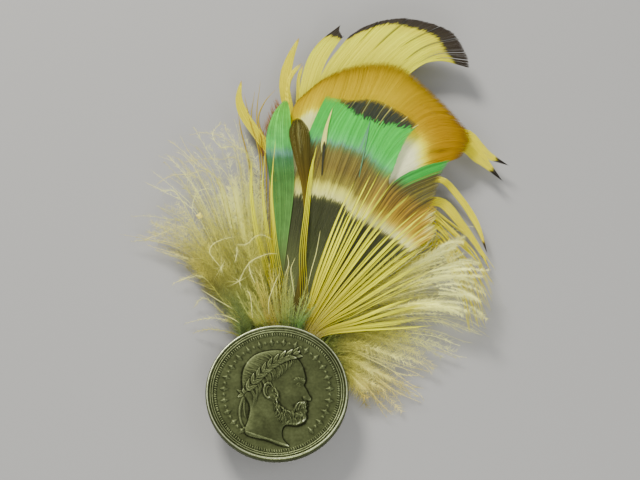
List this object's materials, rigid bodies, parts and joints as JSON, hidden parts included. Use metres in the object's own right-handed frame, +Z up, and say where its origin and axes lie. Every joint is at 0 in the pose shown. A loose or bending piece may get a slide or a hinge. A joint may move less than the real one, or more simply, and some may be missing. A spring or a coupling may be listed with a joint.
{
  "type": "hat feather",
  "caption": "Fan of yellow, ochre, green and banded feathers with gold strands and cream down, their quills set under a round struck metal medallion with a laurelled head.",
  "frame": {"origin": "centre of the felt back under the medallion, on the surface that the part lies on", "axes": "+Y from the medallion towards the feather tips, +Z up off the surface, +X to the right seen from above"},
  "size_m": [0.0832, 0.1051, 0.0115],
  "materials": {
    "pewter": "old tarnished silver metal, darker in its low places, bright on worn edges",
    "felt": "matt dark felt",
    "yellow_barbs": "silky lemon yellow feather barbs with a blackish outer edge",
    "ochre_barbs": "soft ochre barbs, white near the quill, hairy at the edge",
    "green_barbs": "bright green barbs over slate blue and dark green",
    "banded_barbs": "bands of black olive, white, rust brown and green with a dark tip",
    "brown_barbs": "satiny olive brown barbs",
    "gold_strands": "wiry gold strands, each with a dark side",
    "cream_down": "loose cream and olive beige down",
    "moss_down": "soft down tinted green and gold"
  },
  "bodies": {
    "root": {"medallion": "pewter", "backing_pad": "felt", "yellow_hook_plume": "yellow_barbs", "yellow_fork_plume": "yellow_barbs", "left_yellow_plume": "yellow_barbs", "right_yellow_plume": "yellow_barbs", "ochre_feather": "ochre_barbs", "left_green_feather": "green_barbs", "banded_feather": "banded_barbs", "brown_tuft": "brown_barbs", "left_crest_strands": "gold_strands", "centre_crest_strand": "gold_strands", "right_crest_strands": "gold_strands", "left_down": "cream_down", "right_down": "cream_down", "green_down": "moss_down"}
  },
  "joints": []
}
